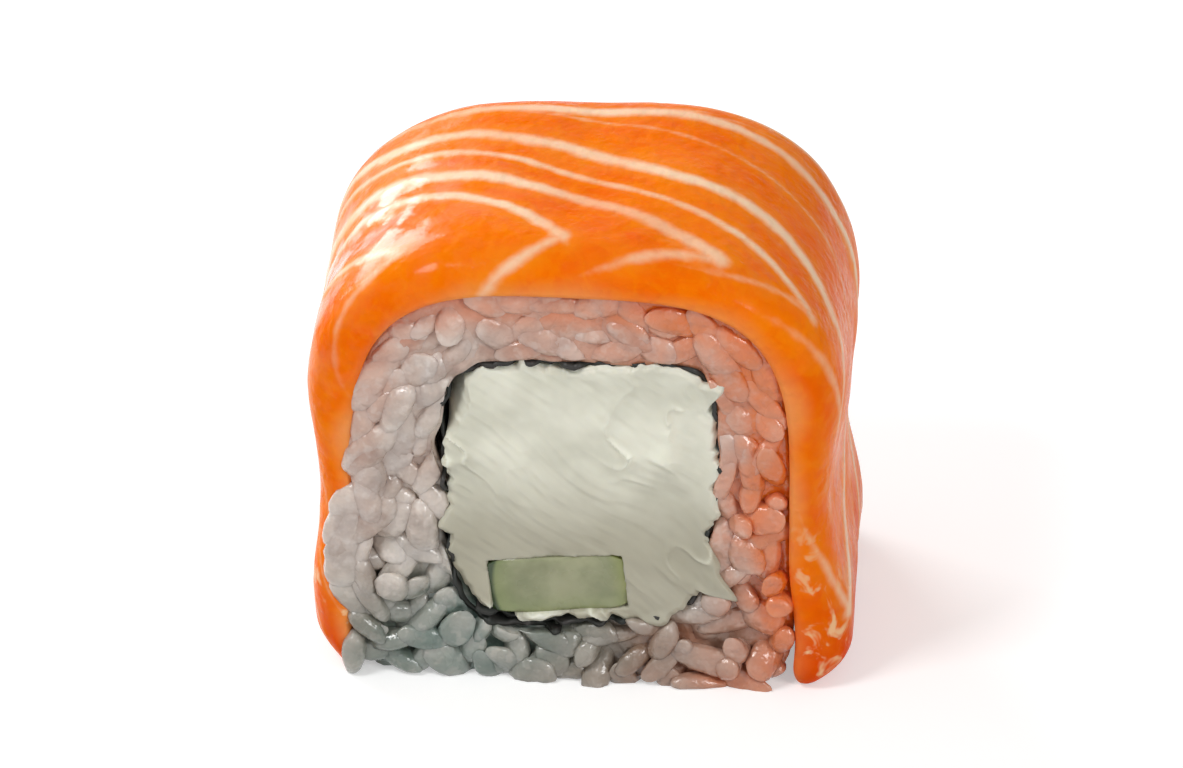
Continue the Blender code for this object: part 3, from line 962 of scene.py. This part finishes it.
def salmon_stain_and_bounce(points):
    """How far the rice is tinted salmon-orange, partly by the salmon's colour run into it and partly by
    painted orange light bounced off the salmon: most near it, over the top and on the right.
    """
    angle, radius = from_rice_middle(points[..., 0], points[..., 2])
    depth = rice_radius(angle) - radius
    turned = (np.degrees(angle) + 120) % 360 - 120
    side = np.interp(turned, *np.array(STAIN_AND_BOUNCE_ROUND_RING).T)
    patches = 0.85 + 0.35 * noise(points, 3.5 * MM, 15)
    beside = 0.5 * smooth_step(1.4 - depth / (2.2 * MM))
    return np.clip(side * (patches * smooth_step(1.45 - depth / STAIN_AND_BOUNCE_DEPTH) + beside), 0, 1)


def base_shade(points):
    """How much painted shade darkens and greys the rice: most at the base, on the left of its middle."""
    x, z = points[..., 0], points[..., 2]
    right = smooth_step((x - 4 * MM) / (10 * MM))
    return smooth_step(1.35 - z / PAINTED_SHADE_HEIGHT) * (1 - 0.5 * right)


def rice_marks(points, tone, tip):
    """What the rice's material reads at each point."""
    # the salmon-orange tint is partly the salmon's colour and partly painted bounced light; the darkening
    # at the base is painted shade; the whiter grain tips are painted light
    marks = {"stain_and_bounce": salmon_stain_and_bounce(points), "painted_shade": base_shade(points)}
    return marks | {"grain_tone": tone, "grain_tip_light": tip}


def make_grains(material):
    """All the loose-lying grains, joined: one form laid at each place and pressed into the ring."""
    random = np.random.default_rng(11)
    sets = [face_grains(random, -1), face_grains(random, 1), base_grains(random), stray_grains()]
    centres, axes, proud = (np.concatenate(part) for part in zip(*sets))
    free = np.arange(len(centres)) >= len(centres) - len(sets[-1][0])
    form, rows, caps = grain_form(14, 9)
    size = np.array(GRAIN_SIZE) * random.uniform(0.65, 1.15, (len(centres), 3))
    taper = 1 + random.uniform(-0.2, 0.2, (len(centres), 1)) * form[:, 0]
    local = form * size[:, None, :] * np.stack([np.ones_like(taper), taper, taper], -1)
    points = centres[:, None, :] + np.einsum("nij,nkj->nki", axes, local)
    outward = (points - centres[:, None, :]) / GRAIN_SIZE[1]
    points += outward * lumps(points, GRAIN_LUMPS)[..., None]
    points = press_into_ring(points, proud, free)
    points = points + 0.06 * MM * noise_vector(points, 0.6 * MM, 17)
    first = (np.arange(len(centres)) * len(form))[:, None, None]
    tone = np.repeat(random.uniform(0, 1, len(centres)), len(form))
    # painted light: the grains' ends whiter, as light catches their translucent ends
    tip = smooth_step((np.abs(form[:, 0]) - 0.35) / 0.6)[None, :] + 0.8 * noise(points, 1.2 * MM, 16)
    tip = np.clip(tip, 0, 1)
    return make_piece(
        "rice_grains",
        points,
        [(rows + first).reshape(-1, 4), (caps + first).reshape(-1, 3)],
        material,
        "rice",
        rice_marks(points, tone, tip),
    )


def make_rice_core(material):
    """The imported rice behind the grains: the ring's section carried round the core, lumpy at the cuts.

    The section runs back along the outer side, in over the back face, forward through the hole and out
    over the front face.
    """
    side, face = 40, 14
    back_way = np.linspace(-1, 1, side, endpoint=False)
    inward = np.linspace(1, 0, face, endpoint=False)
    hole = np.linspace(1, -1, side, endpoint=False)
    outward = np.linspace(0, 1, face, endpoint=False)
    share = np.concatenate([np.ones(side), inward, np.zeros(side), outward])[None, :]
    along = np.concatenate([back_way, np.ones(face), hole, -np.ones(face)])[None, :]
    angle = np.linspace(0, FULL_TURN, 220, endpoint=False)[:, None]
    inner = space(*core_point(angle, hole_radius(angle, along) - 0.15 * MM), 0)[..., :2]
    outer = space(*rice_outline(angle, SALMON_GAP - 0.05 * MM), 0)[..., :2]
    flat = inner + (outer - inner) * share[..., None]
    depth = RICE_CORE_DEPTH[0] + (RICE_CORE_DEPTH[1] - RICE_CORE_DEPTH[0]) * low_share(angle)
    y = along * (RICE_CUT - depth)
    points = space(flat[..., 0], y, flat[..., 1])
    points[..., 0] += share * np.sign(flat[..., 0]) * leg_room(flat[..., 0], flat[..., 1])
    at_face = np.where(np.abs(along) == 1, np.sign(along), 0)
    points[..., 1] += at_face * lumps(points, RICE_CORE_LUMPS)
    points[..., 2] = np.maximum(points[..., 2], RICE_CORE_LOWEST)
    no_grain = np.zeros(points.shape[:-1])
    return make_piece(
        "rice_core",
        points,
        [grid_faces(*share.repeat(len(angle), 0).shape, True, True)[:, ::-1]],
        material,
        "rice",
        rice_marks(points, no_grain, no_grain),
    )


def rice_material(wet, mottle):
    """Moist pale rice: whiter at the grains' tips by painted light, with white flecks of painted
    highlight, darker and greyer low down by painted shade, and tinted orange near the salmon, partly by
    its colour and partly by painted light bounced off it.
    """
    made, tree, surface = food_material("moist_rice", 0.2, (1.0, 0.75, 0.55), 2.0 * MM, 0.5, 0.6, 0.06)
    pale = use_mottle(tree, mottle, rgb(190, 189, 180), rgb(128, 133, 128), 420.0, 0.85)
    # painted shade: the rice darker and grey-green low down, less on the right
    painted_shade = times(tree, attribute_value(tree, "painted_shade"), 0.85)
    pale = mix_colour(tree, painted_shade, pale, rgb(72, 108, 100))
    # partly the salmon's colour run into the rice, partly painted orange light bounced off it
    stain_and_bounce = attribute_value(tree, "stain_and_bounce")
    pale = mix_colour(tree, stain_and_bounce, pale, rgb(222, 108, 22))
    # painted highlights: fine white flecks over the rice
    fleck_highlights = ramp(tree, noise_value(tree, object_place(tree), 1100.0), 0.52, 0.68)
    # whiter gathers the painted light at the grains' tips, their own random tone and the painted
    # highlight flecks
    whiter = times(tree, attribute_value(tree, "grain_tip_light"), 0.4)
    whiter = math_node(tree, "MULTIPLY_ADD", attribute_value(tree, "grain_tone"), 0.4, whiter)
    whiter = math_node(tree, "MULTIPLY_ADD", fleck_highlights, 0.25, whiter)
    # less whitening where the rice is tinted orange by the salmon or darkened by painted shade
    unstained_unshaded = math_node(tree, "MULTIPLY_ADD", stain_and_bounce, -0.7, 1.0)
    unstained_unshaded = math_node(tree, "MULTIPLY_ADD", painted_shade, -0.6, unstained_unshaded)
    pale = tint(tree, pale, whiter, math_node(tree, "MAXIMUM", unstained_unshaded, 0.15), rgb(236, 224, 214))
    use_wet(tree, wet, surface, (0.12, 0.3), 300.0, 1300.0, 0.0003)
    feed(tree, surface, {"Base Color": pale})
    return made


# ------------------------------------------------ nori
def make_nori(material):
    """The nori: a crinkled sheet wrapped once round the core and on over its own start, then thickened.

    Its distance from the core's centre is the core's radius plus a fixed gap and creases, which are
    folded sine waves along the turn. Its cut edges are torn a little by noise.
    """
    turns, rows = 420, 25
    turned = np.linspace(0, FULL_TURN + NORI_LAP, turns)[:, None]
    along = np.linspace(-1, 1, rows)[None, :]
    angle = NORI_START + turned
    wander = 2.5 * noise(space(turned * 3, along, 0), 1.0, 21)
    crease = NORI_CREASE * (np.abs(np.sin(17 * angle + wander)) ** 0.7 - 0.6)
    fine = NORI_CRINKLE * noise(space(turned * 14, along * 3, 0), 1.0, 22)
    radius = core_radius(angle, along) + NORI_OUT + lap_lift(turned) + (crease + fine)
    x, z = core_point(angle, radius)
    torn = NORI_TEAR * noise(space(turned * 13, np.sign(along) * 3, 0), 1.0, 23)
    y = along * (NORI_CUT + torn * smooth_step((np.abs(along) - 0.85) / 0.15))
    piece = make_piece("nori_sheet", space(x, y, z), [grid_faces(turns, rows)], material, "nori")
    wall = piece.modifiers.new("Sheet thickness", "SOLIDIFY")
    wall.thickness = NORI_THICKNESS
    wall.offset = 0
    return piece


def nori_material(wet, mottle):
    """Near-black green sheet, dull, with a fine crinkle."""
    made, tree, surface = food_material("nori_leaf", 0.0, (1.0, 0.5, 0.3), 1 * MM, 0.4, 0.0, 0.3)
    leaf = use_mottle(tree, mottle, rgb(30, 34, 30), rgb(58, 52, 50), 600.0, 0.6)
    use_wet(tree, wet, surface, (0.35, 0.65), 400.0, 1500.0, 0.00008)
    feed(tree, surface, {"Base Color": leaf})
    return made


# ------------------------------------------------ cream cheese and cucumber
# Where the knife dragged cheese out over its edge (+) or in from it (-): direction and half-width in
# degrees, reach in mm
CHEESE_SMEARS = (
    (-37, 7, 2.4),
    (-31, 17, 1.5),
    (-8, 14, 0.7),
    (43, 6, 1.6),
    (12, 8, 0.6),
    (143, 17, -1.4),
    (112, 6, 0.6),
    (-92, 24, -0.4),
    (168, 10, 0.6),
    (196, 8, 1.0),
    (212, 14, 0.6),
    (-62, 16, 0.9),
)


def cheese_reach(angle, end):
    """How far the cheese's edge at a cut stands out from the core: torn by noise, drawn in smears."""
    turn = space(np.cos(angle) * 9, np.sin(angle) * 9, end * 4)
    reach = 0.2 * MM + 0.3 * MM * noise(turn, 1.0, 31) + 0.3 * MM * noise(turn, 0.35, 32)
    for direction, half_width, far in CHEESE_SMEARS:
        off = turn_between(angle, math.radians(direction))
        drawn = hump(off, 0, math.radians(half_width)) ** 1.5 * (1.0 if end < 0 else 0.6)
        reach = reach + far * MM * drawn
    return reach


def turned_by(x, z, turn):
    """The point (x, z) seen along axes that are turned by this angle."""
    cosine, sine = math.cos(turn), math.sin(turn)
    return x * cosine + z * sine, z * cosine - x * sine


def knife_marks(x, z, seed):
    """The cut face's relief: a broad swell, and streaks and sharper ridges along the knife's way.

    A streak is noise drawn out along the way. A ridge is 1 less the size of such a noise, to a power.
    """
    along, across = turned_by(x, z, KNIFE_WAY)
    across = across + 1.2 * MM * noise(space(x, 0, z), 8 * MM, seed + 3)
    streaks = noise(space(along / 5.0, across / 1.6, 0), 1 * MM, seed)
    ridges = (1 - np.abs(noise(space(along / 3.2, across / 1.2, 5), 1 * MM, seed + 1))) ** 6
    fine = noise(space(along / 2.0, across / 0.4, 9), 1 * MM, seed + 2)
    swell = noise(space(x, 0, z), 5 * MM, seed + 4)
    here = smooth_step(0.5 + 1.2 * swell)
    return (0.12 * streaks + 0.5 * ridges * here + 0.07 * fine + 0.35 * swell) * MM


def make_cheese(material):
    """The cream cheese: a closed block whose cut faces carry knife marks and part round the cucumber.

    A cut face is a square grid stretched out to its smeared edge, ring of cells by ring of cells.
    """
    cells, rings = 181, 12
    side = np.linspace(-1, 1, cells)
    u, v = np.meshgrid(side, side)
    share = np.maximum(np.abs(u), np.abs(v))
    angle = np.arctan2(v, u)
    faces, marks = [], []
    for end in (-1, 1):
        edge = core_radius(angle, end) + cheese_reach(angle, end)
        x, z = core_point(angle, edge * share)
        relief = knife_marks(x, z, 40 + end)
        across, up = turned_by(x - CUCUMBER_CENTRE[0], z - CUCUMBER_CENTRE[1], CUCUMBER_TILT)
        beside, above = np.abs(across) - CUCUMBER_HALF_WIDTH, np.abs(up) - CUCUMBER_HALF_HEIGHT
        into = smooth_step(-np.maximum(beside, above) / GROOVE_EDGE)
        film = smooth_step((edge * share - core_radius(angle, end) + 0.2 * MM) / (1.6 * MM))
        rim = CHEESE_RIM_DROP * smooth_step((share - 0.96) / 0.04)
        y = CHEESE_CUT + relief - CHEESE_GROOVE * into - rim + SMEAR_STAND * film
        faces.append(space(x, end * y, z).reshape(-1, 3))
        marks.append((relief / MM).ravel())
    border = border_loop(cells, cells)
    turn = angle.ravel()[border]
    place = ring_places(rings)
    x, z = core_point(turn[None, :], core_radius(turn[None, :], place) + 0.05 * MM)
    sides = space(x, place * (CHEESE_CUT - 0.9 * MM), z).reshape(-1, 3)
    points = np.concatenate([*faces, sides])
    height = (points[:, 2] - CORE_CENTRE[1]) / (2 * CORE_HALF_HEIGHT) + 0.5
    return make_piece(
        "cream_cheese_block",
        points,
        block_faces(cells, cells, rings),
        material,
        "cream_cheese",
        {"marks": np.concatenate([*marks, np.zeros(len(sides))]), "height": height},
    )


def cheese_material(wet, mottle):
    """Ivory cheese, greyer in soft patches, darker and greyer low down by painted shade, and paler on the
    ridges of the knife marks by painted light.
    """
    made, tree, surface = food_material("soft_cheese", 0.2, (1.0, 0.85, 0.6), 1.5 * MM, 0.5, 0.15, 0.25)
    paste = use_mottle(tree, mottle, rgb(237, 236, 219), rgb(206, 205, 187), 170.0, 0.8)
    # painted shade: the cheese darker and greyer towards the bottom
    painted_low_shade = rest_of(tree, ramp(tree, attribute_value(tree, "height"), 0.25, 0.7))
    paste = tint(tree, paste, painted_low_shade, 0.75, rgb(160, 154, 132))
    # painted light: the cheese paler where the knife marks stand highest
    ridge = ramp(tree, attribute_value(tree, "marks"), 0.1, 0.55)
    paste = tint(tree, paste, ridge, 0.8, rgb(242, 242, 224))
    use_wet(tree, wet, surface, (0.3, 0.55), 250.0, 900.0, 0.00006)
    feed(tree, surface, {"Base Color": paste})
    return made


def make_cucumber(material):
    """The cucumber baton: a closed block with rounded corners, its left, skin side crowned outwards."""
    rows, columns, rings = 31, 61, 10
    u, v = np.meshgrid(np.linspace(-1, 1, columns), np.linspace(-1, 1, rows))
    corner = 0.055 * (np.abs(u) ** 8) * (np.abs(v) ** 8)
    across = CUCUMBER_HALF_WIDTH * u * (1 - corner)
    up = CUCUMBER_HALF_HEIGHT * v * (1 - 2.2 * corner)
    across = across - SKIN_CROWN * (1 - v * v) * smooth_step(-u * 2 - 1)
    across = across + SEED_SIDE_CROWN * (1 - v * v) * smooth_step(u * 2 - 1)
    up = up + 0.14 * MM * noise(space(u * 3, v, 0), 1.0, 51) * v * v
    x, z = turned_by(across, up, -CUCUMBER_TILT)
    x, z = CUCUMBER_CENTRE[0] + x, CUCUMBER_CENTRE[1] + z
    rim = 0.15 * MM * (np.maximum(np.abs(u), np.abs(v)) ** 12)
    sag = 0.18 * MM * noise(space(x, 0, z), 2.2 * MM, 52) - rim
    faces = [space(x, end * (CUCUMBER_CUT + sag), z).reshape(-1, 3) for end in (-1, 1)]
    border = border_loop(rows, columns)
    place = ring_places(rings) * (CUCUMBER_CUT - 0.25 * MM)
    sides = space(x.ravel()[border][None, :], place, z.ravel()[border][None, :]).reshape(-1, 3)
    from_skin = ((u + 1) / 2).ravel()
    upward = ((v + 1) / 2).ravel()
    return make_piece(
        "cucumber_baton",
        np.concatenate([*faces, sides]),
        block_faces(rows, columns, rings),
        material,
        "cucumber",
        {
            "from_skin": np.concatenate([from_skin, from_skin, np.tile(from_skin[border], rings)]),
            "upward": np.concatenate([upward, upward, np.tile(upward[border], rings)]),
        },
    )


def cucumber_material(wet, mottle):
    """Pale wet flesh between a dark green skin on the left and a yellower green edge on the right."""
    made, tree, surface = food_material("cucumber_flesh", 0.2, (0.7, 1.0, 0.5), 2.0 * MM, 0.5, 0.3, 0.12)
    flesh = use_mottle(tree, mottle, rgb(162, 163, 128), rgb(126, 132, 96), 380.0, 0.8)
    from_skin, upward = attribute_value(tree, "from_skin"), attribute_value(tree, "upward")
    under_skin = rest_of(tree, ramp(tree, from_skin, 0.03, 0.24))
    flesh = tint(tree, flesh, under_skin, 0.75, rgb(118, 134, 70))
    flesh = tint(tree, flesh, ramp(tree, from_skin, 0.86, 1.0), 0.7, rgb(138, 146, 70))
    flesh = tint(tree, flesh, rest_of(tree, ramp(tree, upward, 0.0, 0.5)), 0.5, rgb(136, 148, 98))
    skin = rest_of(tree, ramp(tree, from_skin, 0.05, 0.085))
    flesh = mix_colour(tree, skin, flesh, rgb(44, 66, 26))
    use_wet(tree, wet, surface, (0.15, 0.4), 350.0, 900.0, 0.00007)
    feed(tree, surface, {"Base Color": flesh})
    return made


# ------------------------------------------------ table, light and camera
WHITE = (1, 1, 1, 1)
FLOOR_HALF_WIDTH = 1.5
FLOOR_GREY = (0.8, 0.8, 0.8, 1)
FLOOR_GLOW = 0.4
WORLD_STRENGTH = 0.36

# Square lamps: name, azimuth and elevation in degrees, distance and side in metres, power in watts
SOFTBOXES = (
    ("key_light", -50, 52, 0.35, 0.09, 0.44),
    ("window_light", -138, 22, 0.4, 0.24, 1.1),
    ("front_light", 45, 28, 0.4, 0.1, 0.42),
)

CAMERA_WAY = (4.5, 30)  # azimuth and elevation in degrees
CAMERA_DISTANCE = 0.85
VIEW_WIDTH = 86 * MM
SENSOR_WIDTH = 36


def white_on_sight(tree, more, plain):
    """The plain strength, and more for rays from the camera, off gloss or through glass."""
    path = add_node(tree, "ShaderNodeLightPath", {}).outputs
    seen = math_node(tree, "MAXIMUM", path["Is Camera Ray"], path["Is Glossy Ray"])
    seen = math_node(tree, "MAXIMUM", seen, path["Is Transmission Ray"])
    return math_node(tree, "MULTIPLY_ADD", seen, more, plain)


def make_floor():
    """A plain white floor under the piece: it keeps its shadow, and glows a little where it is seen."""
    half = FLOOR_HALF_WIDTH
    corners = [(-half, -half, 0), (half, -half, 0), (half, half, 0), (-half, half, 0)]
    mesh = bpy.data.meshes.new("floor")
    mesh.from_pydata(corners, [], [(0, 1, 2, 3)])
    made = bpy.data.materials.new("white_floor")
    made.use_nodes = True
    tree = made.node_tree
    surface = tree.nodes["Principled BSDF"]
    feed(tree, surface, {"Base Color": FLOOR_GREY, "Roughness": 1.0, "Specular IOR Level": 0.0})
    glow = white_on_sight(tree, FLOOR_GLOW, 0.0)
    feed(tree, surface, {"Emission Color": WHITE, "Emission Strength": glow})
    mesh.materials.append(made)
    floor = bpy.data.objects.new("floor", mesh)
    bpy.context.scene.collection.objects.link(floor)


def make_world():
    """An even white surround: white where it is seen, and a softer plain light on the piece."""
    world = bpy.data.worlds.new("white_surround")
    world.use_nodes = True
    tree = world.node_tree
    strength = white_on_sight(tree, 1 - WORLD_STRENGTH, WORLD_STRENGTH)
    feed(tree, tree.nodes["Background"], {"Color": WHITE, "Strength": strength})
    bpy.context.scene.world = world


def direction_from(azimuth, elevation):
    """The unit direction towards an onlooker; azimuth 0 is in front, at -Y, and 90 is at +X."""
    a, e = math.radians(azimuth), math.radians(elevation)
    return Vector((math.sin(a) * math.cos(e), -math.cos(a) * math.cos(e), math.sin(e)))


def place_facing(name, data, middle, azimuth, elevation, distance):
    """A lamp or camera at this distance from the middle in a direction in degrees, aimed back at it."""
    placed = bpy.data.objects.new(name, data)
    bpy.context.scene.collection.objects.link(placed)
    away = direction_from(azimuth, elevation)
    placed.location = middle + away * distance
    placed.rotation_euler = (-away).to_track_quat("-Z", "Y").to_euler()
    return placed


def make_lights():
    """White square lamps aimed at the piece's middle."""
    for name, azimuth, elevation, distance, side, power in SOFTBOXES:
        lamp = bpy.data.lights.new(name, "AREA")
        lamp.shape, lamp.size, lamp.energy = "SQUARE", side, power
        place_facing(name, lamp, (CAD_LOW + CAD_HIGH) / 2, azimuth, elevation, distance)


def make_camera():
    """A long lens looking down on the piece from just right of its front."""
    camera = bpy.data.cameras.new("camera")
    camera.sensor_width = SENSOR_WIDTH
    camera.lens = camera.sensor_width * CAMERA_DISTANCE / VIEW_WIDTH
    camera.clip_start, camera.clip_end = 0.01, 10
    middle = Vector((0, 0, (CAD_LOW.z + CAD_HIGH.z) / 2))
    placed = place_facing("camera", camera, middle, *CAMERA_WAY, CAMERA_DISTANCE)
    bpy.context.scene.camera = placed


def main():
    wet, mottle = make_wet_group(), make_mottle_group()
    rice = rice_material(wet, mottle)
    make_salmon(salmon_material(wet, mottle))
    make_rice_core(rice)
    make_grains(rice)
    make_nori(nori_material(wet, mottle))
    make_cheese(cheese_material(wet, mottle))
    make_cucumber(cucumber_material(wet, mottle))
    make_floor()
    make_world()
    make_lights()
    make_camera()
    bpy.context.scene.view_settings.view_transform = "Standard"


main()
